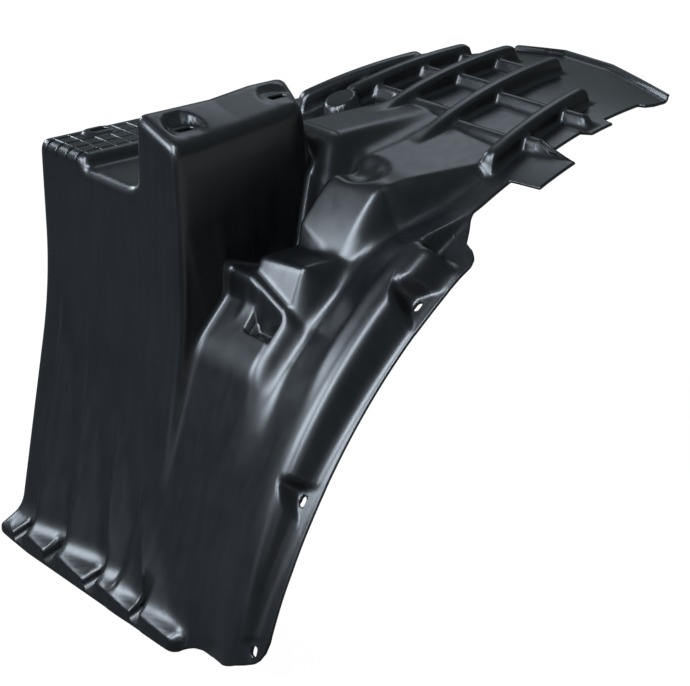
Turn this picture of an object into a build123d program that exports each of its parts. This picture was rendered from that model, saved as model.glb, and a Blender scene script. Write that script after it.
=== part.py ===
from build123d import *
import os
from math import cos, degrees, radians, sin

# Wheel arch liner: one moulded plastic sheet that stands between a truck's wheel and its body.
# Millimetres. X runs along the vehicle, rising over the wheel towards the far tip, minus Y is the
# outer side with the fixing edge, Z is up. Sizes are measured from the wheel's axle: a reach is a
# distance in front of it (minus X), a side is along Y, a height is above it. The finished liner is
# moved so that the origin is the middle of the two slots on the tower.

# Sheet
sheet = 3.5
edge_round = 9.0

# Arch over the wheel
arch_radius = 650.0
crown_reach = 330.0
inner_side = 246.0
outer_side = -257.0

# Front wall, which leans out below the knee and ends in the hem
wall_reach = 547.0
wall_outer_side = -22.0
knee_height = 438.0
knee_round = 120.0
foot_reach = 604.0
foot_height = 165.0
foot_round = 24.0
hem_reach = 637.0
hem_height = 130.0
return_flange = 25.0

# Channel and gridded ledge behind the wall's top edge
channel_height = 597.0
ledge_height = 610.0
ledge_width = 94.0
grid_pitch = 20.0
grid_width = 4.0
grid_height = 2.0
grid_rows = 4
grid_columns = 12
ledge_slot_reach = 480.0
ledge_slot_side = 222.0
ledge_boss_length = 40.0
ledge_boss_width = 26.0

# Tower with its two slotted pads
tower_inner_side = 50.0
tower_back_reach = 348.0
tower_back_slant = 34.0
tower_lean = 28.0
tower_inner_height = 684.0
tower_outer_height = 660.0
tower_inner_rise = 6.0
tower_outer_rise = 16.0
ramp_gap = 9.0
ramp_length = 80.0
pad_diameter = 42.0
pad_height = 667.0
slot_spacing = 125.0
slot_middle_reach = 447.0
slot_side = 11.0
slot_length = 24.0
slot_width = 10.0

# Shoulder outside the tower: plateau, steep face, tread, lower face, riser, shelf, panel
shoulder_side = -120.0
slope_side = -150.0
plateau_reach = 348.0
plateau_height = 606.0
plateau_rise = 27.0
steep_reach = 385.0
steep_height = 573.0
tread_back_reach = 412.0
tread_back_height = 536.0
tread_reach = 457.0
tread_height = 535.0
face_reach = 474.0
face_height = 499.0
riser_reach = 484.0
riser_foot_height = 486.0
shelf_reach = 529.0
shelf_height = 440.0
panel_foot_reach = 612.0
panel_foot_height = 176.0
step_round = 8.0
corner_round = 14.0
slope_angles = (58.5, 55.5, 52.5, 47.5, 43.5, 39.5, 35.5)
slope_top_height = 593.0
slope_dips = (14.0, 14.0, 14.0, 14.0, 14.0, 12.0, 6.0)

# Block beside the tower, under a groove between the tower and the steep face
block_side = -58.0
block_height = 521.0
groove_reach = 322.0
groove_foot_reach = 388.0

# Round scoop in the plateau's front edge
scoop_reach = 335.0
scoop_side = -85.0
scoop_diameter = 36.0
scoop_depth = 15.0

# Cut in the shelf's back outer corner, open towards the flank
corner_cut_back = 486.0
corner_cut_front = 505.0
corner_cut_side = -78.0
corner_cut_end = -128.0
corner_cut_height = 458.0

# Strip behind the tower, level with the plateau's far end
strip_side = -8.0

# Raised band along the fixing edge, turned about an axis of its own so that it runs out at the foot
band_centre_reach = 77.0
band_centre_height = 92.0
band_radius = 561.0
band_rise = 30.0
band_inner_side = -198.0
band_outer_side = -226.0
band_foot_side = -249.0
band_top_angle = 58.5

# Three flat pockets with small slots where the band's outer slope meets the edge
pocket_angles = (17.0, 31.5, 52.0)
pocket_length = 46.0
pocket_side = -224.0
pocket_radius = 652.0
side_slot_side = -238.0
side_slot_length = 12.0
side_slot_width = 8.0

# Long ribs over the crown, as (reach, side) of their two ends, and the short ribs between them
rib_width = 17.0
rib_rise = 20.0
rib_ends = (
    ((235.0, -166.0), (67.0, -144.0)),
    ((253.0, -64.0), (2.0, -40.0)),
    ((245.0, 26.0), (3.0, 33.0)),
    ((222.0, 105.0), (37.0, 76.0)),
    ((237.0, 150.0), (91.0, 102.0)),
)
cross_rib_width = 12.0
cross_rib_rise = 12.0
cross_rib_reaches = ((190.0, 115.0), (175.0, 100.0, 35.0), (170.0, 105.0, 50.0), (165.0, 115.0))
rib_round = 5.0
disc_diameter = 40.0
disc_rise = 19.0
disc_reach = 225.0
disc_side = 92.0

# Raised lip along the far edge
lip_width = 6.0
lip_rise = 5.0
lip_reach = -5.0

# Flutes on the lower wall, as (side, height) of the tip and the side of the foot
flutes = (
    ((205.0, 440.0), 181.0),
    ((144.0, 392.0), 115.0),
    ((83.0, 345.0), 30.0),
    ((20.0, 270.0), -59.0),
)
flute_flank = 10.0
flute_run = 62.0
flute_shift = (1.3, -0.8)

# How far the solids run on past the sheet before they are hollowed and trimmed
spare = 60.0
inside_reach = 135.0

# Upper outer edge with its two tabs
upper_side = -203.0
notch_reach = 318.0
notch_length = 20.0
large_tab_reach = 206.0
large_tab_length = 54.0
large_tab_side = -243.0
small_tab_reach = 106.0
small_tab_length = 34.0
small_tab_side = -213.0
tab_round = 4.0
notch_round = 14.0

# Plan of the sheet's edge as (reach, side, corner radius), from the inner side over the far tip
plan_edge = (
    (hem_reach + spare, inner_side, tab_round),
    (300.0, inner_side, notch_round),
    (237.0, 182.0, 30.0),
    (11.0, 89.0, 40.0),
    (-48.0, 68.0, 20.0),
    (-85.0, 21.0, 30.0),
    (-75.0, -65.0, 60.0),
    (-14.0, -208.0, 8.0),
    (18.0, upper_side, tab_round),
    (20.0, -195.0, tab_round),
    (small_tab_reach - small_tab_length / 2, -198.0, tab_round),
    (small_tab_reach - small_tab_length / 2, small_tab_side, tab_round),
    (small_tab_reach + small_tab_length / 2, small_tab_side, tab_round),
    (small_tab_reach + small_tab_length / 2, -200.0, tab_round),
    (large_tab_reach - large_tab_length / 2, upper_side, tab_round),
    (large_tab_reach - large_tab_length / 2, large_tab_side, tab_round),
    (large_tab_reach + large_tab_length / 2, large_tab_side, tab_round),
    (large_tab_reach + large_tab_length / 2, upper_side, tab_round),
    (notch_reach, upper_side, notch_round),
    (notch_reach + notch_length, outer_side, notch_round),
    (hem_reach + spare, outer_side, tab_round),
)

# Lower edge seen from the front as (side, height, corner radius), from the hem to the rounded tongue
front_edge = (
    (inner_side + spare, hem_height, tab_round),
    (-117.0, hem_height, 10.0),
    (-137.0, 150.0, 10.0),
    (-196.0, 152.0, 10.0),
    (-240.0, 172.0, 25.0),
    (-262.0, 225.0, 25.0),
    (outer_side - spare, 260.0, tab_round),
    (outer_side - spare, tower_inner_height + spare, tab_round),
    (inner_side + spare, tower_inner_height + spare, tab_round),
)


def rounded_outline(points):
    """Closed outline through (first, second, corner radius) points, on the ground plane."""
    corners = [(first, second) for first, second, radius in points]
    radii = [radius for first, second, radius in points]
    return FilletPolyline(*corners, radius=radii, close=True)


def drawn_in(face, inset):
    """The face with its outline moved inwards by inset."""
    return offset(face, -inset, kind=Kind.INTERSECTION) if inset else face


def side_face(points):
    """Face seen from the side through (reach, height, corner radius) points."""
    outline = rounded_outline([(-reach, height, radius) for reach, height, radius in points])
    return make_face(Plane.XZ * outline)


def across(face, inner, outer):
    """A side face carried across the liner, from its inner to its outer side."""
    return Pos(0, inner, 0) * extrude(face, inner - outer, dir=(0, -1, 0))


def axle_cylinder(radius):
    """Round body about the axle, wider than the liner."""
    return Rot(90, 0, 0) * Cylinder(radius, 4 * inner_side)


def crown(inset):
    """Arch over the top of the wheel."""
    away = (Align.MIN, Align.CENTER, Align.CENTER)
    clip = Box(2 * arch_radius, 4 * inner_side, 2 * arch_radius, align=away)
    return axle_cylinder(arch_radius - inset) & Pos(-crown_reach - inset, 0, 0) * clip


def outside_of(side):
    """Everything on the outer side of a side."""
    outwards = (Align.CENTER, Align.MAX, Align.CENTER)
    return Pos(0, side, 0) * Box(2 * arch_radius, 2 * inner_side, 2 * arch_radius, align=outwards)


def fixing_edge(inset):
    """Arch along the outer side, which ends in the fixing edge."""
    return axle_cylinder(arch_radius - inset) & outside_of(band_inner_side - inset)


def wheel_room():
    """Room for the tyre under the shoulder's slope and the fixing edge."""
    return axle_cylinder(arch_radius - spare / 2) & outside_of(shoulder_side)


def hem_points(reach, height):
    """Lower end of a side outline: from a foot at this reach and height out along the hem, and back in."""
    stretch = spare / (height - hem_height)
    end_reach = hem_reach + stretch * (hem_reach - reach)
    return (
        (reach, height, foot_round),
        (end_reach, hem_height - spare, step_round),
        (end_reach, hem_height - 2 * spare, step_round),
        (inside_reach, hem_height - 2 * spare, step_round),
    )


def wall_points(top):
    """Side outline of the front wall up to a height: top edge, knee, foot and hem."""
    return (
        (inside_reach, top, step_round),
        (wall_reach, top, edge_round),
        (wall_reach, knee_height, knee_round),
        *hem_points(foot_reach, foot_height),
    )


def front_wall(inset):
    """Wall and channel floor, with the outer corner rounded."""
    face = drawn_in(side_face(wall_points(channel_height)), inset)
    body = across(face, inner_side - inset, wall_outer_side + inset)
    outer_end = body.faces().sort_by(Axis.Y)[0]
    return fillet(outer_end.edges(), edge_round - inset)


def ledge(inset):
    """Raised strip along the inner side, with both sides rounded."""
    face = drawn_in(side_face(wall_points(ledge_height)), inset)
    body = across(face, inner_side - inset, inner_side - ledge_width + inset)
    ends = body.faces().filter_by(Axis.Y)
    return fillet(ends.edges(), edge_round - inset)


def slot_places():
    """Middles of the tower's two slots, at the level of their pads."""
    half = slot_spacing / 2
    return [Vector(-slot_middle_reach + shift, slot_side, pad_height) for shift in (-half, half)]


def tower_face(side, inset, back_reach, front, rise):
    """Side outline of the tower at one side, its top rising from the front height to the rear."""
    base = channel_height - spare
    back = back_reach + inset
    ramp_end = tower_back_reach + tower_lean + ramp_gap
    points = (
        (wall_reach - inset, base),
        (wall_reach - inset, front - inset),
        (ramp_end + ramp_length, front - inset),
        (ramp_end, front + rise - inset),
        (back + tower_lean, front + rise - inset),
        (back, base),
    )
    outline = Polyline(*[(-reach, height) for reach, height in points], close=True)
    return Pos(0, side, 0) * make_face(Plane.XZ * outline)


def tower(inset):
    """Tower with a sloping top, cut level round the two slots."""
    inner_back = tower_back_reach - tower_back_slant
    inner_side_in, outer_side_in = tower_inner_side - inset, wall_outer_side + inset
    inner_face = tower_face(inner_side_in, inset, inner_back, tower_inner_height, tower_inner_rise)
    outer_face = tower_face(outer_side_in, inset, tower_back_reach, tower_outer_height, tower_outer_rise)
    body = loft([inner_face, outer_face], ruled=True)
    sharp = [edge for edge in body.edges() if edge.center().Z > channel_height - spare / 2]
    body = fillet(sharp, edge_round - inset)
    for place in slot_places():
        cut = Cylinder(pad_diameter / 2 + inset, spare, align=(Align.CENTER, Align.CENTER, Align.MIN))
        body -= Pos(place.X, place.Y, pad_height - inset) * cut
    return body


def shoulder_points(steps):
    """Side outline of the shoulder: plateau, the given steps, shelf and panel."""
    return (
        (inside_reach, plateau_height + plateau_rise, step_round),
        *steps,
        (riser_reach, riser_foot_height, step_round / 2),
        (shelf_reach, shelf_height, step_round),
        *hem_points(panel_foot_reach, panel_foot_height),
    )


def band_point(angle, dip):
    """(reach, height, corner radius) a dip below the band at an angle above level."""
    radius = band_radius - dip
    reach = band_centre_reach + radius * cos(radians(angle))
    return (reach, band_centre_height + radius * sin(radians(angle)), step_round)


def slope_points(depth):
    """Side outline of the slope beside the band, sunk by a share of its dips."""
    return (
        (inside_reach, slope_top_height, step_round),
        *[band_point(angle, depth * dip) for angle, dip in zip(slope_angles, slope_dips)],
        *hem_points(panel_foot_reach, panel_foot_height),
    )


def shoulder(inset):
    """Plateau, steps, shelf and panel, with the flank down to a slope that rises to the band."""
    ridge_steps = (
        (plateau_reach, plateau_height, corner_round),
        (steep_reach, steep_height, step_round),
        (tread_back_reach, tread_back_height, step_round),
        (tread_reach, tread_height, step_round),
        (face_reach, face_height, step_round),
    )
    groove_share = (plateau_reach - groove_reach) / (plateau_reach - inside_reach)
    block_steps = (
        (groove_reach, plateau_height + groove_share * plateau_rise, corner_round),
        (groove_foot_reach, block_height, step_round),
        (riser_reach, block_height, step_round),
    )
    ridge_face = side_face(shoulder_points(ridge_steps))
    block_face = side_face(shoulder_points(block_steps))
    ridge = across(drawn_in(ridge_face, inset), block_side - inset, shoulder_side + inset)
    block = across(drawn_in(block_face, inset), -inset, block_side + inset)
    core = across(drawn_in(ridge_face & block_face, inset), -inset, shoulder_side + inset)
    edge = Pos(0, shoulder_side + inset, 0) * drawn_in(ridge_face, inset)
    foot = Pos(0, slope_side + inset, 0) * drawn_in(side_face(slope_points(1)), inset)
    rim = Pos(0, band_inner_side + inset, 0) * drawn_in(side_face(slope_points(0)), inset)
    body = ridge + block + core + loft([edge, foot], ruled=True) + loft([foot, rim], ruled=True)
    scoop = Cylinder(scoop_diameter / 2 + inset, spare, align=(Align.CENTER, Align.CENTER, Align.MIN))
    body -= Pos(-scoop_reach, scoop_side, plateau_height - scoop_depth - inset) * scoop
    cut_length = corner_cut_front - corner_cut_back + 2 * inset
    cut_width = corner_cut_side - corner_cut_end + 2 * inset
    cut = Box(cut_length, cut_width, spare, align=Align.MIN)
    return body - Pos(-corner_cut_front - inset, corner_cut_end - inset, corner_cut_height - inset) * cut


def strip(inset):
    """Low step behind the tower, level with the feet of the ribs."""
    top = plateau_height + plateau_rise - inset
    front = tower_back_reach + tower_lean
    body = Box(front - inside_reach, tower_inner_side - strip_side - 2 * inset, spare, align=Align.MIN)
    return Pos(-front, strip_side + inset, top - spare) * body


def band(inset):
    """Raised band along the fixing edge, with its slope down to the edge."""
    foot = band_radius - band_rise
    points = (
        (-foot + spare, band_inner_side + spare),
        (-band_radius, band_inner_side),
        (-band_radius, band_outer_side),
        (-foot, band_foot_side),
        (-foot + spare, band_foot_side),
    )
    face = drawn_in(make_face(Polyline(*points, close=True)), inset)
    turn = band_top_angle - degrees(inset / band_radius)
    return Pos(-band_centre_reach, 0, band_centre_height) * revolve(face, Axis.Y, turn)


def wedge(tip, foot_side, inset):
    """One flute: a pleat that grows out of the wall from its tip down to the hem."""
    tip_side, tip_height = tip
    fall = (knee_height - tip_height) / (knee_height - foot_height)
    tip_reach = wall_reach + max(fall, 0.0) * (foot_reach - wall_reach)
    floor_height = hem_height - spare / 2
    stretch = (tip_height - floor_height) / (tip_height - hem_height)
    feet = (
        (hem_reach, foot_side),
        (foot_reach, foot_side - flute_run),
        (foot_reach, foot_side + flute_flank),
    )
    corners = []
    for reach, side in feet:
        x = -tip_reach - (reach - tip_reach) * stretch
        corners.append((x, tip_side + (side - tip_side) * stretch))
    base = Pos(0, 0, floor_height) * make_face(Polyline(*corners, close=True))
    body = loft([base, Vertex(-tip_reach, tip_side, tip_height)], ruled=True)
    return Pos(flute_shift[0] * inset, flute_shift[1] * inset, 0) * body


def rib(start, end, width, rise, inset):
    """A rib between two (reach, side) ends, its rounded crest following the arch."""
    begin = Vector(-start[0], start[1])
    finish = Vector(-end[0], end[1])
    run = finish - begin
    angle = Vector(1, 0).get_signed_angle(run, Vector(0, 0, 1))
    middle = (begin + finish) * 0.5
    plan = Rectangle(run.length - 2 * inset, width - 2 * inset)
    bar = Pos(middle.X, middle.Y, arch_radius - 2 * spare) * Rot(0, 0, angle) * extrude(plan, 3 * spare)
    body = bar & axle_cylinder(arch_radius + rise - inset)
    crest = body.faces().sort_by(Axis.Z)[-1]
    return fillet(crest.edges(), rib_round - inset)


def cross_ribs(inset):
    """Short ribs across the crown, from each long rib to the next."""
    bodies = []
    for pair, reaches in zip(zip(rib_ends, rib_ends[1:]), cross_rib_reaches):
        for reach in reaches:
            ends = []
            for (start_reach, start_side), (end_reach, end_side) in pair:
                share = (start_reach - reach) / (start_reach - end_reach)
                ends.append((reach, start_side + share * (end_side - start_side)))
            bodies.append(rib(*ends, cross_rib_width, cross_rib_rise, inset))
    return bodies


def disc(inset):
    """Round boss between the fourth rib and the strip."""
    stem = Cylinder(disc_diameter / 2 - inset, 2 * spare)
    place = Pos(-disc_reach, disc_side, arch_radius - spare)
    return place * stem & axle_cylinder(arch_radius + disc_rise - inset)


def pocket_plane(angle):
    """Plane of a pocket's floor: X up along the edge, Y across, Z away from the axle."""
    away = Vector(-cos(radians(angle)), 0, sin(radians(angle)))
    along = Vector(sin(radians(angle)), 0, cos(radians(angle)))
    return Plane(away * pocket_radius, x_dir=along, z_dir=away)


def pockets(inset):
    """Three-cornered pockets that clear a flat seat for the side slots."""
    half = pocket_length / 2
    edge = outer_side - spare
    corners = ((half, pocket_side), (half, edge), (-half, edge), (-half, pocket_side - half))
    face = drawn_in(make_face(Polyline(*corners, close=True)), -inset)
    return [pocket_plane(angle) * Pos(0, 0, -inset) * extrude(face, spare) for angle in pocket_angles]


def enclosed(inset):
    """Everything within the sheet's outer face, or within its inner face."""
    body = crown(inset)
    for make in (fixing_edge, front_wall, ledge, tower, shoulder, strip, band):
        body += make(inset)
    for tip, foot_side in flutes:
        body += wedge(tip, foot_side, inset)
    for pocket in pockets(inset):
        body -= pocket
    for start, end in rib_ends:
        body += rib(start, end, rib_width, rib_rise, inset)
    for short_rib in cross_ribs(inset):
        body += short_rib
    return body + disc(inset)


def plan_face():
    """Outline of the sheet from above."""
    return make_face(rounded_outline([(-reach, side, radius) for reach, side, radius in plan_edge]))


def room():
    """The room inside the sheet's edges, from above and from the front."""
    above = extrude(plan_face(), 2 * tower_inner_height, dir=(0, 0, 1))
    front = make_face(Plane.YZ * rounded_outline(front_edge))
    length = 2 * (hem_reach + spare)
    return above & Pos(-length / 2, 0, 0) * extrude(front, length, dir=(1, 0, 0))


def far_lip():
    """Raised lip along the far edge."""
    edge = plan_face() - drawn_in(plan_face(), lip_width)
    rim = extrude(edge, 2 * arch_radius, dir=(0, 0, 1))
    beyond = Box(arch_radius, 4 * inner_side, 2 * arch_radius, align=(Align.MIN, Align.CENTER, Align.MIN))
    skin = axle_cylinder(arch_radius + lip_rise) - axle_cylinder(arch_radius - sheet / 2)
    return rim & Pos(-lip_reach, 0, 0) * beyond & skin


def ledge_grid():
    """Low crossing ribs on the ledge, with the boss round its slot."""
    rows = GridLocations(0, grid_pitch, 1, grid_rows)
    columns = GridLocations(grid_pitch, 0, grid_columns, 1)
    length = (grid_columns - 1) * grid_pitch + grid_width
    width = (grid_rows - 1) * grid_pitch + grid_width
    plan = Sketch() + [place * Rectangle(length, grid_width) for place in rows]
    plan += [place * Rectangle(grid_width, width) for place in columns]
    root = ledge_height - sheet / 2
    front = -wall_reach + edge_round + grid_width
    place = Pos(front + length / 2, inner_side - ledge_width / 2, root)
    grid = place * extrude(plan, grid_height + sheet / 2)
    boss = extrude(SlotOverall(ledge_boss_length, ledge_boss_width), 2 * grid_height + sheet / 2)
    return grid + Pos(-ledge_slot_reach, ledge_slot_side, root) * boss


def open_side():
    """Window in the inner end, which leaves the return flange standing along the wall and the ledge."""
    face = drawn_in(side_face(wall_points(ledge_height)), return_flange)
    return across(face, inner_side + spare, inner_side - spare)


def slots():
    """The slots through the tower's pads, the ledge and the three pockets."""
    large = extrude(SlotOverall(slot_length, slot_width), spare / 2, both=True)
    small = extrude(SlotOverall(side_slot_length, side_slot_width), spare / 2, both=True)
    cuts = [Pos(place.X, place.Y, place.Z) * large for place in slot_places()]
    cuts.append(Pos(-ledge_slot_reach, ledge_slot_side, ledge_height) * large)
    cuts += [pocket_plane(angle) * Pos(0, side_slot_side, 0) * small for angle in pocket_angles]
    return cuts


liner = (enclosed(0.0) & room()) - enclosed(sheet) - wheel_room() - open_side()
liner += far_lip()
liner += ledge_grid()
for slot in slots():
    liner -= slot
liner = Pos(slot_middle_reach, -slot_side, -pad_height) * liner
liner.label = "arch_liner"

os.makedirs("parts", exist_ok=True)
export_step(liner, "parts/arch_liner.step")
box = liner.bounding_box()
print("arch_liner", round(liner.volume), "mm3", liner.is_valid, len(liner.solids()), "solid")
print("from", box.min, "to", box.max)
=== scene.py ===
# %% [markdown]
# # A wheel arch liner
# A wheel arch liner is a thin plastic moulding that keeps a truck's wheel spray off the body. This lesson
# dresses the CAD model of one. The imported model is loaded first: it is a fixed frame, in metres, and the
# new surface has to lie where the CAD sheet lies.

# %% Load the frame
import math

import bpy
import numpy as np
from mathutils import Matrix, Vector


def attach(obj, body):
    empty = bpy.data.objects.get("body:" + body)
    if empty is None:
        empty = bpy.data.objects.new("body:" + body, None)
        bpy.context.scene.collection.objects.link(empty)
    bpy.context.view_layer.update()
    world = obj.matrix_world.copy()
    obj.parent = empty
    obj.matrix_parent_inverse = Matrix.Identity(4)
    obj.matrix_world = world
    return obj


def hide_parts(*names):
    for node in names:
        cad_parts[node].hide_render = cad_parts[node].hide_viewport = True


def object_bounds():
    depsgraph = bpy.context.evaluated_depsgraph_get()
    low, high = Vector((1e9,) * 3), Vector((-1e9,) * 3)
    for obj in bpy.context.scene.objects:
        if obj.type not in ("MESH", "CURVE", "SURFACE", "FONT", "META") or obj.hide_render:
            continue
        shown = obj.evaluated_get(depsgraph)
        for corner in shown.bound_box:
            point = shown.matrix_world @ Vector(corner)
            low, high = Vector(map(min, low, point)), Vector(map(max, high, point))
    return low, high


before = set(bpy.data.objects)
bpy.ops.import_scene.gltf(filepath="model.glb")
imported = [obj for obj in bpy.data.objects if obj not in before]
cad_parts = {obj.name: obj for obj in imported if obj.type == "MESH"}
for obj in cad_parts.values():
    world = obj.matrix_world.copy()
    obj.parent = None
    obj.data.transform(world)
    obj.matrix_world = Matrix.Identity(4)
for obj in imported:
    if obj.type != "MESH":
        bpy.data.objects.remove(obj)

cad_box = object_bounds()
print("CAD box", [[round(v, 4) for v in corner] for corner in cad_box])

# %% [markdown]
# Designers of such a part measure it from the wheel's axle. Here too, x, y and z are millimetres from the
# axle: x runs along the vehicle, y across it and z up. A place in front of the axle is given by its reach,
# which is minus x. The frame's origin is between the tower's two slots, and one function moves points there.

# %% Units
slot_middle_reach = 447.0
slot_side = 11.0
pad_height = 667.0


def in_frame(x, y, z):
    """Points in metres in the frame, from axle millimetres: each is shifted by the slots' middle."""
    shifted = (x + slot_middle_reach, y - slot_side, z - pad_height)
    return np.stack(np.broadcast_arrays(*shifted), axis=-1) / 1000.0


print("the axle lies at", in_frame(0.0, 0.0, 0.0), "in the frame")

# %% [markdown]
# The liner is one skin with many rounded features. It could be sculpted by hand, or put together from boxes
# with bevels, but bevels fail where many edges meet. Here it is described by a distance: a function that is
# negative inside the form and positive outside. Two forms are joined by taking the lesser of their
# distances, and one is kept within another by taking the greater. A moulding has no sharp corner, so both
# are taken smoothly. The last number of each call is the width, in millimetres, over which a crease is
# filled or an edge is rounded.

# %% Smooth ways to put distances together
def join(a, b, fillet):
    """The lesser of two distances, less a parabola that fills the crease over the fillet's width."""
    share = np.clip(0.5 + 0.5 * (b - a) / fillet, 0.0, 1.0)
    return b + (a - b) * share - fillet * share * (1.0 - share)


def within(a, b, edge):
    """The greater of two distances, with the edge between them rounded."""
    return -join(-a, -b, edge)


def without(a, b, edge):
    """The first form with the second cut out of it."""
    return within(a, -b, edge)


def ease(value, low, high):
    """Smooth step from 0 at low to 1 at high."""
    share = np.clip((value - low) / (high - low), 0.0, 1.0)
    return share * share * (3.0 - 2.0 * share)


def line(reach, height, start, end):
    """Distance in front of or above the straight line between two (reach, height) points."""
    along = np.subtract(end, start) / math.dist(start, end)
    return (height - start[1]) * along[0] - (reach - start[0]) * along[1]


print("a crease that is filled over 8 mm rises by", -join(0.0, 0.0, 8.0), "mm")

# %% [markdown]
# Pleats stiffen the lower front wall. They could be bodies of their own, but on the real part they grow out
# of the wall without an edge, so here they are a relief: a height over the wall that depends on the place.
# Each pleat grows from its tip down to the hem, steep on one side and gentle on the other.

# %% Pleats
hem_reach, hem_height = 635.6, 131.9
pleats = (
    ((205, 440), 181, 22),
    ((144, 392), 115, 22),
    ((83, 345), 30, 22),
    ((20, 270), -59, 12),
)
pleat_flank, pleat_run = 12.0, 58.0
pleat_tip_width, pleat_growth = 0.35, 1.15
pleat_crest, pleat_fade = 0.3, 0.25


def relief(y, z):
    """How far the pleats stand off the wall: the greatest of four ridges, each rising along its line.

    A pleat is given by the (side, height) of its tip, the side of its foot and its rise at the hem.
    """
    height = 0.0
    for (tip_side, tip_height), foot_side, rise in pleats:
        share = np.clip((tip_height - z) / (tip_height - hem_height), 0.0, 1.0)
        across = y - tip_side - share * (foot_side - tip_side)
        width = pleat_tip_width + (1.0 - pleat_tip_width) * share
        crest = join(1.0 - across / (pleat_flank * width), 1.0 + across / (pleat_run * width), pleat_crest)
        height = np.maximum(height, rise * share**pleat_growth * within(crest, 0.0, pleat_fade))
    return height


print("pleats at the hem, mm:", relief(np.array([pleat[1] for pleat in pleats]), hem_height).round(1))

# %% [markdown]
# The front wall stands upright above the knee, leans out below it, and ends in a hem: a short flange that
# turns down at its edge. Each stretch is a straight line in the side view, and the outermost line wins.

# %% Front wall
wall_reach = 547.0
knee_height = 438.0
foot = (604.0, 165.0)
flange_top, flange_edge = (603.0, 161.0), (634.0, 150.0)
flange_back = flange_top[0] - 20.0
flange_limit = flange_top[1] + 24.0
flange_relief = 0.4


def wall_face(reach, y, z):
    """The wall: upright, then leaning, with its pleats, and the flange at its foot up to the hem's lip."""
    rise = relief(y, z)
    face = join(reach - wall_reach, line(reach, z, (wall_reach, knee_height), foot), 14.0) - rise
    flange = within(line(reach, z, flange_top, flange_edge), flange_back - reach, 4.0)
    flange = within(flange - flange_relief * rise, z - flange_limit, 6.0)
    return within(join(face, flange, 16.0), reach - hem_reach, 5.0)


print("distance 10 mm before the upright wall:", wall_face(wall_reach + 10.0, 0.0, 550.0))

# %% [markdown]
# Behind the wall's top edge lie a channel and, a step higher, a ledge. The ledge has a flat boss round its
# slot. These are level planes, so each is only a limit on the height, kept within a limit on the side.

# %% Ledge and channel
wall_side = -22.0
tower_side = 50.0
inner_side = 246.0
channel_height = 597.0
channel_side = tower_side - 8.0
ledge_height = 610.0
ledge_side = 152.0
riser_across, riser_up = 0.96, 0.28
ledge_slot = (480.0, 222.0)
boss_half_length, boss_radius, boss_rise = 8.0, 12.0, 3.5


def front_body(x, y, z):
    """Channel floor, with the ledge a step higher along the inner side and its boss."""
    channel = within(z - channel_height, channel_side - y, 4.0)
    riser = riser_across * (ledge_side - y) + riser_up * (z - channel_height)
    ledge = within(z - ledge_height, riser, 9.0)
    along = np.maximum(np.abs(-x - ledge_slot[0]) - boss_half_length, 0.0)
    boss = np.hypot(along, y - ledge_slot[1]) - boss_radius
    ledge = join(ledge, within(boss, z - ledge_height - boss_rise, 3.0), 3.0)
    return within(join(channel, ledge, 9.0), y - inner_side, 11.0)


print("step from the channel to the ledge:", ledge_height - channel_height, "mm")

# %% [markdown]
# In the hem's flange four small square notches take the clips of the next panel. A notch is open to the
# front, so it needs only a back, two sides and a floor.

# %% Clip notches
clip_reach, clip_floor = 613.0, 141.0
clip_sides, clip_half = (202.0, 136.0, 51.0, -38.0), 8.0


def clip_notch(x, y, z, side):
    """Notch in the flange: within half its width, beyond its back and above its floor."""
    return within(within(clip_reach + x, np.abs(y - side) - clip_half, 3.0), clip_floor - z, 3.0)


print("clip notches:", len(clip_sides), "of", 2.0 * clip_half, "mm")

# %% [markdown]
# The tower is a tall box beside the channel. Its top slopes down towards the outer side, and two round
# pads are cut level in it for the screws. The back leans forwards and stands askew. Sloping lines make a
# distance grow too fast, and the two scales bring it back to millimetres.

# %% Tower
tower_back, tower_root = 348.0, 537.0
tower_lean, tower_slant = 28.0 / 139.0, 34.0 / 72.0
inner_ramp = ((398, 452), (689.9, 684))
outer_ramp = ((380, 400, 447, 520), (677, 673, 668, 660))
top_scale, back_scale = 0.94, 0.89
draft, draft_depth = 0.03, 90.0
pad_radius = 21.0
pad_levels = (pad_height, pad_height + 13.0)
slot_spacing = 125.0
slot_reaches = (slot_middle_reach + slot_spacing / 2, slot_middle_reach - slot_spacing / 2)


def tower(x, y, z):
    """Tower: inside its drafted sides and leaning back, under a twisted top, less the two pads."""
    reach = -x
    inner, outer = np.interp(reach, *inner_ramp), np.interp(reach, *outer_ramp)
    share = (tower_side - y) / (tower_side - wall_side)
    top = top_scale * (z - inner - share * (outer - inner))
    back = tower_back + tower_lean * (z - tower_root) - tower_slant * (y - wall_side)
    body = within(back_scale * (back - reach), top, 13.0)
    inside = draft * np.maximum(body, -draft_depth)
    body = within(body, wall_side - y + inside, 13.0)
    body = within(body, y - tower_side + inside, 12.0)
    for slot_reach, level in zip(slot_reaches, pad_levels):
        pad = np.hypot(reach - slot_reach, y - slot_side) - pad_radius
        body = without(body, within(pad, level - z, 4.0), 4.0)
    return body


print("pads at", pad_levels, "mm over the axle")

# %% [markdown]
# Outside the tower the skin comes down like stairs: a plateau, a steep face, a tread and a lower face. In
# the side view these are straight lines. The two faces are turned a little outwards, so the lines are taken
# at a reach that shifts with the side.

# %% Stairs beside the tower
plateau_back, plateau = (190.0, 626.0), (348.0, 606.0)
plateau_tilt, plateau_middle, plateau_limit = 0.1, -77.0, 631.0
steep_middle = (385.0, 573.0)
tread_back, tread = (412.0, 536.0), (457.0, 535.0)
tread_overlap = 2.0
face_foot = (474.0, 499.0)
face_depth = 40.0
face_turn, turn_side = -0.36, -112.0
block_side = -58.0


def plateau_top(reach, side, height):
    """Plateau: a line in side view, tilted across and no higher than its limit."""
    top = line(reach, height, plateau_back, plateau) - plateau_tilt * (side - plateau_middle)
    return within(top, height - plateau_limit, 6.0)


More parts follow.
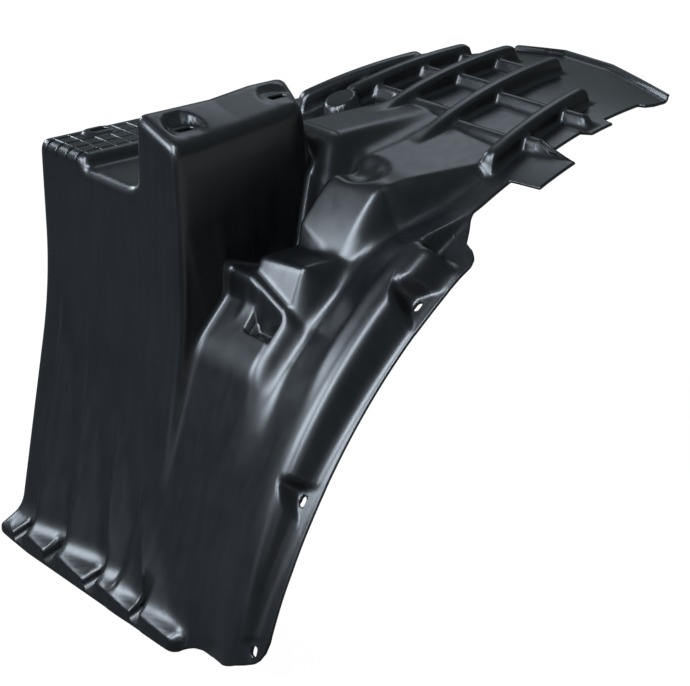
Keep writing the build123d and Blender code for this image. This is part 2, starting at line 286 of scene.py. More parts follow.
def stairs(reach, side, height):
    """Plateau, steep face of two slopes, tread and lower face, up to the block's side."""
    turned = face_turn * (side - turn_side)
    steep = within(line(reach + turned, height, plateau, steep_middle),
                   line(reach + turned, height, steep_middle, tread_back), 10.0)
    upper = within(plateau_top(reach, side, height), steep, 8.0)
    upper = within(upper, reach - tread_back[0] - tread_overlap, 4.0)
    face = within(line(reach, height, tread_back, tread),
                  line(reach + 0.5 * turned, height, tread, face_foot), 5.0)
    face = within(face, face_foot[1] - face_depth - height, 4.0)
    return within(join(upper, face, 7.0), side - block_side, 7.0)


print("drop from the plateau to the tread:", plateau[1] - tread[1], "mm")

# %% [markdown]
# Between the stairs and the tower runs a groove that ends at a block. Below them lies a short shelf and a
# long panel, over which the last pleat runs out. Each is again a line or two in the side view.

# %% Groove, block, shelf and panel
groove_top, groove_foot = (322.0, 606.0), (388.0, 521.0)
block_height, block_fall, block_tilt = 521.0, 0.45, 0.35
block_crown, block_scale = 7.0, 0.94
riser_foot = (486.0, 486.0)
shelf, panel_foot = (529.0, 440.0), (612.0, 176.0)
panel_limit = hem_reach - 6.0


def groove(reach, side, height):
    """Groove: the plateau again, falling along its own steeper line."""
    fall = within(plateau_top(reach, side, height), line(reach, height, groove_top, groove_foot), 12.0)
    return within(fall, reach - groove_foot[0], 4.0)


def block(reach, side, height):
    """Block at the groove's foot: under a top that tilts forwards and falls off at its outer side."""
    top = height - block_height + block_fall * np.maximum(block_side - block_crown - side, 0.0)
    top = block_scale * (top + block_tilt * (riser_foot[0] - reach))
    return within(top, reach - riser_foot[0], 12.0)


def panel(reach, side, height):
    """Shelf and panel with the pleats' relief, no higher than the riser's foot and behind the hem."""
    flat = line(reach, height, shelf, panel_foot) - relief(side, height)
    body = within(line(reach, height, riser_foot, shelf), flat, 8.0)
    return within(within(body, height - riser_foot[1], 4.0), reach - panel_limit, 5.0)


print("panel length:", round(math.dist(shelf, panel_foot)), "mm")

# %% [markdown]
# Two cuts finish the steps: a round scoop in the plateau's front edge, which is part of a sphere, and a
# small square corner in the shelf.

# %% Steps with their cuts
scoop_place, scoop_radius = (341.0, plateau_middle, 634.0), 37.0
corner_cut = ((495.0, 9.0), (-100.0, 19.0), 458.0)


def steps(reach, side, height):
    """Stairs, groove, block and panel joined, less the scoop's sphere and the corner's box."""
    place = (reach, side, height)
    body = join(join(stairs(*place), groove(*place), 10.0), block(*place), 7.0)
    body = join(body, panel(*place), 6.0)
    away = [(value - middle) ** 2 for value, middle in zip(place, scoop_place)]
    body = without(body, np.sqrt(sum(away)) - scoop_radius, 7.0)
    (cut_reach, half_reach), (cut_side, half_side), floor = corner_cut
    cut = within(np.abs(reach - cut_reach) - half_reach, np.abs(side - cut_side) - half_side, 3.0)
    return without(body, within(cut, floor - height, 3.0), 4.0)


print("scoop's lowest point:", scoop_place[2] - scoop_radius, "mm over the axle")

# %% [markdown]
# Further out the steps melt into a slope that is round about the band's axis. Two different surfaces could
# be bridged by hand. Here the distances themselves are mixed over the width of the flank, and the mix is
# eased at both ends so that no edge shows.

# %% Shoulder
band_side = -198.0
band_centre, band_radius = (77.0, 92.0), 561.0
band_top_angle, chord_angle = 58.5, 35.5
saddle_back, saddle_dip = (135.0, 593.0), 0.7
slope_dips = ((380, 418, 449, 478), (0, 6, 12, 14))
dip_width = 48.0
flank_side, flank_shift, flank_run = -125.0, 36.0, 100.0
flank_widths = ((400, 449, 484, 508, 535, 548), (26, 22, 22, 20, 14, 22))
flank_ease = 9.0
shoulder_sides = (band_side - 6.0, wall_side + 30.0)


def on_band(angle):
    """The (reach, height) point of the band at an angle above level."""
    turn = math.radians(angle)
    return (band_centre[0] + band_radius * math.cos(turn), band_centre[1] + band_radius * math.sin(turn))


def shoulder(x, y, z):
    """The steps, mixed over their outer flank into a dipped arc under a chord and a saddle."""
    reach = -x
    dip = np.interp(z, *slope_dips) * np.clip((y - band_side) / dip_width, 0.0, 1.0)
    arc = np.hypot(reach - band_centre[0], z - band_centre[1]) - band_radius + dip
    chord = line(reach, z, on_band(chord_angle), panel_foot)
    saddle = line(reach, z, saddle_back, on_band(band_top_angle)) + saddle_dip * dip
    slope = within(within(arc, chord, 30.0), saddle, 24.0)
    start = flank_side - flank_shift * np.clip((plateau[0] - reach) / flank_run, 0.0, 1.0)
    width = np.interp(z, *flank_widths)
    share = join(within((start - y) / width, 0.0, flank_ease / width), 1.0, flank_ease / width)
    stepped = steps(reach, y, z)
    body = stepped + share * (slope - stepped)
    return within(within(body, y - shoulder_sides[1], 4.0), shoulder_sides[0] - y, 8.0)


print("the band's top end, reach and height:", np.round(on_band(band_top_angle), 1))

# %% [markdown]
# The crown follows the wheel, and so does the fixing edge along the outer side. Both are one cylinder about
# the axle. The raised band turns about an axis of its own, so that it runs out at its foot.

# %% Crown, fixing edge and band
arch_radius = 650.0
crown_reach = 330.0
band_outer_side, band_foot_side, band_rise = -226.0, -249.0, 30.0
band_tilt, band_tilt_gain, band_tilt_heights = 0.30, 0.15, (220.0, 380.0)


def arch(x, y, z):
    """Crown over the wheel and the fixing edge along the outer side."""
    radius = np.hypot(x, z) - arch_radius
    return within(radius, np.minimum(-x - crown_reach, y - band_side), 8.0)


def band(x, y, z):
    """Band: within its radius, its tilted inner part, its outer slope and the end at its top."""
    reach, height = -x - band_centre[0], z - band_centre[1]
    radius = np.hypot(reach, height) - band_radius
    run = band_outer_side - band_foot_side
    slope = (radius * run + (band_outer_side - y) * band_rise) / math.hypot(band_rise, run)
    turn = math.radians(band_top_angle)
    end = height * math.cos(turn) - reach * math.sin(turn)
    tilt = band_tilt + band_tilt_gain * ease(z, *band_tilt_heights)
    inner = np.sqrt(1.0 - tilt * tilt) * radius + tilt * (y - band_side)
    return within(within(within(radius, inner, 6.0), slope, 9.0), end, 12.0)


print("width of the band's outer slope:", band_outer_side - band_foot_side, "mm")

# %% [markdown]
# Three pockets for screws are cut where the band's outer slope meets the edge. Each is a three-cornered
# prism over a seat that faces away from the axle. The seat bends up behind the slot, so that the wall at
# the pocket's apex stays low.

# %% Pockets
pocket_angles = (17.0, 31.5, 52.0)
pocket_apexes = ((6.0, 0.5, 1.3), (8.0, 0.47, 1.4), (2.0, 0.87, 0.95))
pocket_side, pocket_radius = -224.0, 652.0
pocket_draft, pocket_tilt = 0.4, 0.6
side_slot_side = -238.0
pocket_bend = side_slot_side + 6.0


def pocket(x, y, z, angle, apex, rise, fall):
    """Prism over a seat: from its apex, two drafted sides spread out to the edge, one up and one down."""
    away = math.radians(angle)
    up = z * math.cos(away) + x * math.sin(away) - apex
    over = z * math.sin(away) - x * math.cos(away) - pocket_radius
    over = over - pocket_tilt * np.maximum(y - pocket_bend, 0.0)
    out = pocket_side - y
    above = (up - rise * out) / math.hypot(1.0, rise) - pocket_draft * over
    below = (-up - fall * out) / math.hypot(1.0, fall) - pocket_draft * over
    return within(within(above, below, 6.0), -over, 3.0)


print("pockets at", pocket_angles, "degrees above level")

# %% [markdown]
# Ribs stiffen the crown. A rib is a bar whose crest follows the arch, with drafted sides and slanting
# ends. Short ribs run from each long rib to the next, and two spurs run out to the edge. A round
# boss stands beside the fourth rib.

# %% Ribs
rib_width, rib_rise = 17.0, 20.0
rib_ends = (
    ((235, -166), (67, -144)),
    ((253, -64), (2, -40)),
    ((245, 26), (3, 33)),
    ((204, 102), (37, 76)),
    ((237, 150), (91, 102)),
)
cross_rib_width, cross_rib_rise = 12, 12.0
cross_rib_reaches = ((190, 115), (175, 100, 35), (170, 105, 50), (165, 115))
spurs = (((180, -160), (180, -198)), ((112, -152), (112, -196)))
rib_draft, rib_end_slope = 0.08, 0.3
disc_place, disc_radius, disc_rise = (225.0, 92.0), 20.0, 21.0


def bar(x, y, z, start, end, width, rise):
    """Rib between two (reach, side) ends: within half its width, its ends and its crest."""
    length = math.dist(start, end)
    along = ((start[0] - end[0]) / length, (end[1] - start[1]) / length)
    u = (x + start[0]) * along[0] + (y - start[1]) * along[1]
    v = (y - start[1]) * along[0] - (x + start[0]) * along[1]
    under = rise + arch_radius - np.hypot(x, z)
    sides = np.abs(v) - width / 2 - rib_draft * under
    ends = np.maximum(-u, u - length) - rib_end_slope * under
    return within(within(sides, ends, 6.0), -under, 6.0)


def side_at(ends, reach):
    """Where a rib between two (reach, side) ends passes a reach."""
    (start_reach, start_side), (end_reach, end_side) = ends
    return start_side + (start_reach - reach) / (start_reach - end_reach) * (end_side - start_side)


short_ribs = [((reach, side_at(ends, reach)), (reach, side_at(next_ends, reach)))
              for ends, next_ends, reaches in zip(rib_ends, rib_ends[1:], cross_rib_reaches)
              for reach in reaches]


def ribs(x, y, z):
    """All long ribs, short ribs and spurs, and the round boss."""
    disc = np.hypot(-x - disc_place[0], y - disc_place[1]) - disc_radius
    body = within(disc, np.hypot(x, z) - arch_radius - disc_rise, 3.0)
    for ends in rib_ends:
        body = join(body, bar(x, y, z, *ends, rib_width, rib_rise), 6.0)
    for ends in (*short_ribs, *spurs):
        body = join(body, bar(x, y, z, *ends, cross_rib_width, cross_rib_rise), 5.0)
    return body


print("ribs:", len(rib_ends), "long,", len(short_ribs), "short and", len(spurs), "spurs")

# %% [markdown]
# A low strip closes the gap behind the tower. Its outer side and its front end slope down, so that the
# skin can be drawn out of the mould.

# %% Strip
strip_side, strip_height = -20.0, 633.0
strip_across, strip_up = 0.74, 0.67
strip_end = ((332.0, 633.0), (372.0, 592.0))


def strip(x, y, z):
    """Low step behind the tower: between its sides, under its top and its sloping end."""
    outer = strip_across * (strip_side - y) - strip_up * (strip_height - z)
    end = within(line(-x, z, *strip_end), -x - strip_end[1][0], 4.0)
    return within(within(np.maximum(outer, y - tower_side), z - strip_height, 8.0), end, 10.0)


print("the strip stands", strip_height - plateau[1], "mm over the plateau's edge")

# %% [markdown]
# The whole form is now one function. The order matters: the wall's face cuts everything in front of it, the
# pockets are cut after the band is there, and the ribs and the lip at the far edge come last.

# %% The form
flange_side = -112.0
far_edge = ((-208, -65, 21, 68), (14, 75, 85, 48))
lip_width, lip_rise = 9.0, 7.0


def form(x, y, z):
    """Distance to the liner's outer face: the features joined one after another with their fillets."""
    front = join(front_body(x, y, z), tower(x, y, z), 20.0)
    low = within(z - flange_limit, np.maximum(flange_side - y, y - tower_side), 16.0)
    front = within(join(front, low, 4.0), wall_face(-x, y, z), 12.0)
    body = join(join(front, arch(x, y, z), 10.0), shoulder(x, y, z), 11.0)
    body = join(join(body, strip(x, y, z), 8.0), band(x, y, z), 9.0)
    for side in clip_sides:
        body = without(body, clip_notch(x, y, z, side), 3.0)
    for angle, apex in zip(pocket_angles, pocket_apexes):
        body = without(body, pocket(x, y, z, angle, *apex), 4.0)
    lip = within(np.interp(y, *far_edge) - lip_width - x, np.hypot(x, z) - arch_radius - lip_rise, 4.0)
    return join(join(body, ribs(x, y, z), 7.0), lip, 5.0)


print("distance at the front pad's middle:", form(-slot_reaches[0], slot_side, pad_height).round(3), "mm")

# %% [markdown]
# To turn the form into a mesh, rays are shot at it row by row. A cage of cubes could be used instead, but
# its faces would cut across the folds. Over the front the rays leave one pole behind the wall, and over the
# crown they point away from the axle. Rows crowd at the tower's top and at the ends of the two tabs.

# %% Stations of the rows
hem_turn, even_turn = 206.0, 150.0
far_start = -30.0
tab_ends, tab_gap = (-234.5, -178.5, -122.5, -88.5), 1.5
crown_counts = (18, 1, 20, 1, 19, 1, 11, 1, 18)
turn_rows, far_rows = 28, 41


def spaced(*stretches):
    """Stations from (from, to, count) stretches, each without its last point."""
    return np.concatenate([np.linspace(a, b, n, endpoint=False) for a, b, n in stretches])


front_turns = spaced((hem_turn, 184, 32), (184, 112, 76), (112, 100, 44), (100, 77, 76))
crown_stops = [-295.0, *(end + gap for end in tab_ends for gap in (-tab_gap, tab_gap)), far_start]
crown_places = spaced(*zip(crown_stops, crown_stops[1:], crown_counts))
row_count = front_turns.size + turn_rows + crown_places.size + far_rows
print("rows of rays:", row_count)

# %% [markdown]
# A ray is the line from an inner to an outer point. The first row passes through the hem's edge, and the
# rows above it take up its changes of height. The outer columns all point away from the axle, because the
# pockets there open that way.

# %% Ends of the rays
pole, front_distances = (-450.0, 200.0), (45.0, 600.0)
crown_radii = (560.0, 740.0)
radial_sides, radial_length = (200.0, 220.0), 260.0
edge_radius, far_margin = 1.75, 2.8
hem_edge = ((-257, -253, -247, -242, -238, -230, -221, -208, -193, -184, -175, -166,
             -156, -147, -138, -130, -122, -114, -100, 181, 219, 246),
            (213, 193, 183, 178.5, 176, 172, 168.5, 164.5, 159.5, 157.5, 155, 151.6,
             149.2, 147.3, 144.8, 142.8, 138, 133, hem_height, hem_height, 135, 138))
hem_reaches = ((-130.0, -104.0), (622.0, hem_reach))


def arch_share(x0, z0, x1, z1):
    """The share of a ray at which it passes the arch's circle: the root of a quadratic."""
    dx, dz = x1 - x0, z1 - z0
    a, b, c = dx * dx + dz * dz, x0 * dx + z0 * dz, x0 * x0 + z0 * z0 - arch_radius**2
    return (np.sqrt(b * b - a * c) - b) / a


def ray_ends(sides):
    """Inner and outer ends of each grid point's ray, as ((x, z), (x, z)), for the sides of the grid.

    Rows turn about the pole, then lean about the axle; outer columns mix into rays away from the axle.
    """
    down = np.interp(sides[0], *hem_edge) + edge_radius
    reach = np.interp(sides[0], *hem_reaches)
    first = np.degrees(np.arctan2(down - pole[1], -reach - pole[0])) % 360.0
    stretch = (first - even_turn) / (hem_turn - even_turn)
    across = np.ones(sides.shape[1])
    turns = front_turns[:, None] * across
    turns = np.radians(np.where(turns > even_turn, even_turn + (turns - even_turn) * stretch, turns))
    far = np.interp(sides[-far_rows:], *far_edge) - edge_radius - far_margin
    shares = np.linspace(0.0, 1.0, far_rows)[:, None]
    places = np.concatenate([crown_places[:, None] * across, far_start + shares * (far - far_start)])
    lean = np.arcsin(places / arch_radius)
    between = np.linspace(0.0, 1.0, turn_rows + 2)[1:-1, None]
    ends = []
    for distance, radius in zip(front_distances, crown_radii):
        front = pole[0] + distance * np.cos(turns), pole[1] + distance * np.sin(turns)
        crown = radius * np.sin(lean), radius * np.cos(lean)
        both = zip(front, crown)
        ends.append([np.concatenate([a, a[-1] + between * (b[0] - a[-1]), b]) for a, b in both])
    (x0, z0), (x1, z1) = ends
    share = arch_share(x0, z0, x1, z1)
    passed = x0 + share * (x1 - x0), z0 + share * (z1 - z0)
    radii = arch_radius - radial_length * share, arch_radius + radial_length * (1.0 - share)
    outer = ease(-sides, *radial_sides)
    return [[a + outer * (b * radius / arch_radius - a) for a, b in zip(end, passed)]
            for end, radius in zip(ends, radii)]


(near_x, near_z), (away_x, away_z) = ray_ends(np.zeros((row_count, 1)))
place = (near_x + arch_share(near_x, near_z, away_x, away_z) * (away_x - near_x))[:, 0]
print("rows pass the arch from x", place[0].round(1), "to", place[-1].round(1), "mm")

# %% [markdown]
# Columns run from the outer edge, with its notch and two tabs, to the inner one. They gather along walls
# and ribs, because a mesh needs its lines along the folds. Each guide is a line in plan that follows a wall
# at the front and a rib over the crown, and its neighbours keep fixed distances from it.

# %% Edges and guides of the columns
outer_side = -257.0
notch_edge = ((-345, -337, -330, -327, -325, -321, -313), (outer_side, -253, -243, -231, -214, -206, -203))
upper_edge = ((-313, -234.5, -233.5, -179.5, -178.5, -123.5, -122.5, -89.5, -88.5, -20, -18, 14),
              (-203, -203, -243, -243, -203, -200, -213, -213, -198, -195, -203, -208))
inner_edge = ((-300, -237, -11, 60), (245.97, 182, 89, 64))
guide_turn = (-372.0, -262.0)

single = np.zeros(1)
edge_3 = np.array([0.0, 1.0, 2.5])
even_13 = np.linspace(-12.0, 12.0, 13)
even_7, even_5 = even_13[3:10], even_13[4:9]
rib_13 = np.array([-14, -11, -9.8, -8.8, -7.5, -4.5, 0, 4.5, 7.5, 8.8, 9.8, 11, 14])
rib_16 = np.array([-13, -11, -9.8, -9, -8, -6, -3.5, -1.2, 1.2, 3.5, 6, 8, 9, 9.8, 11, 13])
rib_18 = np.array([-16, -13, -11, -9.8, -9.1, -8.4, -7.4, -5.5, -3.5, -1.2,
                   1.2, 3.5, 5.5, 7.6, 8.6, 9.4, 11, 13.5])
wall_18 = np.array([-16, -12, -9, -7.2, -6.0, -5.0, -4.2, -3.4, -2.6, -1.8,
                    -1.0, -0.2, 0.6, 1.6, 3, 5, 7.5, 11])
tower_16 = np.array([-11, -7.5, -5, -3, -1.6, -0.6, 0.2, 0.9, 1.5, 2.1, 2.7, 3.4, 4.4, 6, 8.5, 12])
ledge_13 = np.array([-10, -7, -5, -3.5, -2.4, -1.4, -0.4, 0.6, 1.8, 3.2, 5, 7.5, 10])
rim_8 = np.array([-10.0, -7.5, -5.2, -3.4, -2.0, -1.0, -0.4, -0.05])


def guide(place, front, *crown):
    """Side of a guide at each place: its front side, then over the crown through (x, side) points."""
    xs, sides = zip(*crown)
    return front + ease(place, *guide_turn) * (np.interp(place, xs, sides) - front)


print("the notch steps in by", notch_edge[1][-1] - outer_side, "mm")

# %% [markdown]
# Between the guides lie plain columns. Each entry gives a guide, its neighbours' distances at the front and
# over the crown, and the count of plain columns up to the next guide.

# %% Columns of the grid
def columns(place):
    """Sides of all columns for each row's place along the arch, sorted so that lines never cross."""
    notched = np.interp(place, *notch_edge)
    edge = np.where(place < notch_edge[0][-1], notched, np.interp(place, *upper_edge)) + edge_radius
    guides = [
        (edge, edge_3, edge_3, 2),
        (guide(place, band_foot_side, (-262, -192), (60, -180)), single, single, 8),
        (guide(place, band_outer_side, (-262, -187), (60, -170)), even_5, even_5, 6),
        (guide(place, band_side, (-262, -184), (60, -160)), single, single, 12),
        (guide(place, -126, (-235, -166), (-67, -144), (60, -128)), even_13, rib_13, 13),
        (guide(place, block_side, (-250, -98), (60, -84)), even_7, even_7, 4),
        (guide(place, wall_side, (-253, -64), (-2, -40), (60, -36)), wall_18, rib_18, 9),
        (guide(place, tower_side, (-245, 26), (-3, 33), (60, 12)), tower_16, rib_16, 14),
        (guide(place, ledge_side, (-222, 105), (-37, 76), (60, 38)), ledge_13, rib_13, 6),
        (guide(place, 199, (-237, 150), (-91, 102), (60, 52)), even_13, rib_13, 7),
        (np.interp(place, *inner_edge), rim_8, rim_8 - edge_radius, 0),
    ]
    weight = ease(place, *guide_turn)[:, None]
    fixed = [middle[:, None] + front + weight * (crown - front) for middle, front, crown, _ in guides]
    lines = list(fixed)
    for (*_, count), before, after in zip(guides, fixed, fixed[1:]):
        start, end = before[:, -1:], after[:, :1]
        lines.append(start + np.linspace(0.0, 1.0, count + 2)[1:-1] * (end - start))
    sides = np.sort(np.concatenate(lines, axis=1), axis=1)
    return sides + 0.01 * np.arange(sides.shape[1]) / sides.shape[1]


sides = columns(place)
print("columns of the grid:", sides.shape[1])

# %% [markdown]
# Each ray is searched from outside for the first place where the form begins, and then that place is
# found exactly by halving. All rays are searched at once, as whole arrays.

# %% Search along the rays
scan_steps, halvings = 111, 13


def crossing(x0, z0, x1, z1, y, level):
    """Where a ray from outside first meets the form at a level: a scan inwards, then halving."""

    def is_inside(share):
        return form(x0 + share * (x1 - x0), y, z0 + share * (z1 - z0)) < level

    low, high = np.zeros_like(y), np.ones_like(y)
    found = np.zeros(y.shape, bool)
    for share in np.linspace(1.0, 0.0, scan_steps):
        inside = is_inside(share)
        low = np.where(inside & ~found, share, low)
        found |= inside
        high = np.where(found, high, share)
    for _ in range(halvings):
        middle = 0.5 * (low + high)
        inside = is_inside(middle)
        low = np.where(inside, middle, low)
        high = np.where(inside, high, middle)
    return x0 + low * (x1 - x0), z0 + low * (z1 - z0), found


print("a ray is known to one part in", (scan_steps - 1) * 2**halvings)

# %% [markdown]
# At the inner end the sheet turns down into a flange. Its columns lie in one upright plane and look for
# deeper levels of the same form, a little inside the edge. Over the crown the flange fades out.

# %% Outer skin
flange_levels = np.array([-12.0, -16.0, -20.0, -23.2])
flange_search, flange_gap, crown_gap = 25.0, 0.05, 0.3
flange_fade = (-330.0, -290.0)

crowned = ease(place, *flange_fade)[:, None]
gaps = crown_gap * np.arange(1, flange_levels.size + 1)
flange_sides = sides[:, -1:] + flange_gap * (1.0 - crowned) + crowned * gaps
seek = np.concatenate([sides, flange_sides - flange_search * (1.0 - crowned)], axis=1)
sides = np.concatenate([sides, flange_sides], axis=1)
level = np.zeros_like(sides)
level[:, -flange_levels.size:] = flange_levels * (1.0 - crowned)
(near_x, near_z), (away_x, away_z) = ray_ends(sides)
skin_x, skin_z, found = crossing(near_x, near_z, away_x, away_z, seek, level)
skin = np.stack([skin_x, sides, skin_z], axis=-1)
print("grid", sides.shape, "rays that miss", int((~found).sum()))

# %% [markdown]
# The sheet is 3.5 mm thick. A modifier could thicken it, but here the form itself says which way is
# inwards: the inner face lies below the outer one along the direction in which the distance grows fastest,
# and straight across in the flange.

# %% Inner face
sheet = 2.0 * edge_radius
probe = 0.25


def outward(x, y, z):
    """Unit direction in which the form's distance grows, from differences over half a millimetre."""
    slope = np.stack([form(x + a, y + b, z + c) - form(x - a, y - b, z - c)
                      for a, b, c in probe * np.eye(3)], axis=-1)
    return slope / np.maximum(np.linalg.norm(slope, axis=-1, keepdims=True), 1e-9)


normal = outward(skin_x, seek, skin_z)
in_flange = (1.0 - crowned)[..., None]
normal[:, -flange_levels.size:] *= 1.0 - in_flange
normal[:, -flange_levels.size:] += in_flange * np.array([0.0, 1.0, 0.0])
inner_skin = skin - sheet * normal
print("sheet thickness", sheet, "mm")

# %% [markdown]
# The edge between the two faces is a half round, as a mould leaves it: three rings of points bend from the
# outer face to the inner one, out of the sheet along its border.

# %% Rounded edge
def border(grid):
    """The values of a grid along its border, once round."""
    return np.concatenate([grid[:-1, 0], grid[-1, :-1], grid[:0:-1, -1], grid[0, :0:-1]])


first_column, last_column = np.diff(skin[:, :2], axis=1)[:, 0], np.diff(skin[:, -2:], axis=1)[:, 0]
first_row, last_row = np.diff(skin[:2], axis=0)[0], np.diff(skin[-2:], axis=0)[0]
inward = np.concatenate([first_column[:-1], -last_row[:-1], -last_column[:0:-1], first_row[:0:-1]])
edge_normal = border(normal)
beyond = -inward
beyond -= (beyond * edge_normal).sum(axis=-1, keepdims=True) * edge_normal
beyond /= np.maximum(np.linalg.norm(beyond, axis=-1, keepdims=True), 1e-9)
middle = border(skin) - edge_radius * edge_normal
bends = np.radians([45.0, 90.0, 135.0])
rings = [middle + edge_radius * (edge_normal * np.cos(bend) + beyond * np.sin(bend)) for bend in bends]
print("points along the border:", len(middle))

# %% [markdown]
# Points become a mesh through arrays, which is quicker than adding faces one by one. The inner face needs
# only every second row and column, and five-cornered faces sew it to the finer edge.

# %% Mesh of the sheet
def quads(rows):
    """Faces of a grid of vertex numbers, four corners each."""
    return np.stack([rows[:-1, :-1], rows[:-1, 1:], rows[1:, 1:], rows[1:, :-1]], axis=-1).reshape(-1, 4)


def placed(name, data):
    """An object that shows some data, put into the scene."""
    thing = bpy.data.objects.new(name, data)
    bpy.context.scene.collection.objects.link(thing)
    return thing


def mesh_object(name, points, *faces):
    """A smooth mesh object from points in metres and arrays of faces, one array for each corner count."""
    mesh = bpy.data.meshes.new(name)
    corners = np.concatenate([part.ravel() for part in faces]).astype(np.int32)
    sizes = np.concatenate([np.full(len(part), part.shape[1]) for part in faces])
    starts = np.concatenate([[0], np.cumsum(sizes)[:-1]]).astype(np.int32)
    mesh.vertices.add(len(points))
    mesh.vertices.foreach_set("co", np.ascontiguousarray(points, dtype=np.float32).ravel())
    mesh.loops.add(len(corners))
    mesh.loops.foreach_set("vertex_index", corners)
    mesh.polygons.add(len(starts))
    mesh.polygons.foreach_set("loop_start", starts)
    mesh.update(calc_edges=True)
    mesh.validate()
    mesh.polygons.foreach_set("use_smooth", np.ones(len(mesh.polygons), bool))
    print(name, len(mesh.vertices), "points,", int((sizes - 2).sum()), "triangles")
    return placed(name, mesh)


coarse = inner_skin[::2, ::2]
parts = [skin.reshape(-1, 3), np.concatenate(rings), coarse.reshape(-1, 3)]
ring_start, coarse_start = np.cumsum([len(part) for part in parts])[:2]
outer_numbers = np.arange(ring_start).reshape(sides.shape)
loop = border(outer_numbers)
stack = np.concatenate([loop[None], np.arange(ring_start, coarse_start).reshape(len(bends), loop.size)])
stack = np.concatenate([stack, stack[:, :1]], axis=1)
coarse_numbers = coarse_start + np.arange(len(parts[2])).reshape(coarse.shape[:2])
coarse_loop = border(coarse_numbers)
coarse_loop = np.append(coarse_loop, coarse_loop[0])
last = stack[-1]
stitch = np.stack([last[:-2:2], last[1:-1:2], last[2::2], coarse_loop[1:], coarse_loop[:-1]], axis=-1)
liner = mesh_object("liner_skin", in_frame(*np.concatenate(parts).T), quads(outer_numbers), quads(stack),
                    quads(coarse_numbers)[:, ::-1], stitch)

# %% [markdown]
# Six slots take screws: two through the tower's pads, one through the ledge and one through each pocket.
# In the factory they are punched or moulded open. Here the sheet is closed when it is made, so each slot is
# cut by a prism with round ends.

# %% Prisms for the slots
slot_length, slot_width = 24.0, 10.0
side_slot_length, side_slot_width = 12.0, 8.0
prism_corners, prism_half_height = 24, 16.0


def slot_prism(middle, along, across, axis, length, width):
    """Points and faces of a prism with round ends: its outline is two half circles joined by straights."""
    turn = (np.arange(prism_corners) + 0.5) * 2.0 * math.pi / prism_corners
    shift = np.sign(np.cos(turn)) * (length - width) / 2
    outline = np.outer(shift + width / 2 * np.cos(turn), along) + np.outer(width / 2 * np.sin(turn), across)
    heights = (-prism_half_height, prism_half_height)
    ends = [np.asarray(middle) + outline + height * np.asarray(axis) for height in heights]
    number = np.arange(prism_corners)
    following = np.roll(number, -1)
    walls = np.stack([number, following, following + prism_corners, number + prism_corners], axis=-1)
    return np.concatenate(ends), walls, np.stack([number[::-1], number + prism_corners])


upright = ((1, 0, 0), (0, 1, 0), (0, 0, 1))
seats = [(-reach, slot_side, level) for reach, level in zip(slot_reaches, pad_levels)]
seats.append((-ledge_slot[0], ledge_slot[1], ledge_height))
prisms = [slot_prism(seat, *upright, slot_length, slot_width) for seat in seats]
for angle in np.radians(pocket_angles):
    away = np.array([-math.cos(angle), 0.0, math.sin(angle)])
    along = (math.sin(angle), 0.0, math.cos(angle))
    seat = pocket_radius * away + (0.0, side_slot_side, 0.0)
    prisms.append(slot_prism(seat, along, (0, 1, 0), away, side_slot_length, side_slot_width))
print("slots to cut:", len(prisms))

# %% [markdown]
# A Boolean modifier takes all prisms out of the sheet. It is applied at once, so that the liner is a plain
# mesh again.

# %% Cut the slots
cutter_points, *cutter_faces = zip(*prisms)
shifts = 2 * prism_corners * np.arange(len(prisms))[:, None, None]
cutter = mesh_object("cutter", in_frame(*np.concatenate(cutter_points).T),
                     *(np.concatenate(np.stack(faces) + shifts) for faces in cutter_faces))
cut = liner.modifiers.new("slots", "BOOLEAN")
cut.operation, cut.solver, cut.object = "DIFFERENCE", "MANIFOLD", cutter
whole = liner.data
liner.data = bpy.data.meshes.new_from_object(liner.evaluated_get(bpy.context.evaluated_depsgraph_get()))
liner.data.name = "liner_skin_cut"
liner.modifiers.clear()
bpy.data.objects.remove(cutter)
print("slots cut:", len(whole.polygons), "faces before,", len(liner.data.polygons), "after")
bpy.data.meshes.remove(whole)

# %% [markdown]
# The ledge carries a grid of low ribs that stops it from drumming. They are finer than the sheet's own mesh,
# so they are a piece of their own. Each rib is a low rounded profile carried along a path.

# %% Profile of the ledge ribs
grid_pitch, grid_half_width, grid_rise = 20.0, 1.5, 1.7
grid_sink, grid_taper = 0.6, 0.15


def grid_rib(path, normals, across):
    """Points of a rib: along the path, a half ellipse over the normal and the direction across it."""
    bend = np.linspace(-0.5 * math.pi, 0.5 * math.pi, 7)
    swell = np.ones(len(path))
    swell[[0, -1]] = grid_taper
    rise = grid_rise * np.outer(swell, np.cos(bend)) - grid_sink
    width = grid_half_width * np.outer(swell, np.sin(bend))
    return path[:, None] + rise[..., None] * normals[:, None] + width[..., None] * np.asarray(across)


print("ledge ribs stand up by", round(grid_rise - grid_sink, 2), "mm")

# %% [markdown]
# The four long ribs run on over the ledge's rounded front edge and end on the wall. The short ones run
# across, and two of them stop at the boss round the slot.

# %% Ledge grid
grid_front, grid_columns = 534.0, 12
grid_sides = 199.0 + grid_pitch * np.arange(-1.5, 2.0)
front_round, wall_run = 9.0, 7.0
short_ends, short_taper = (8.0, 6.0), 3.0

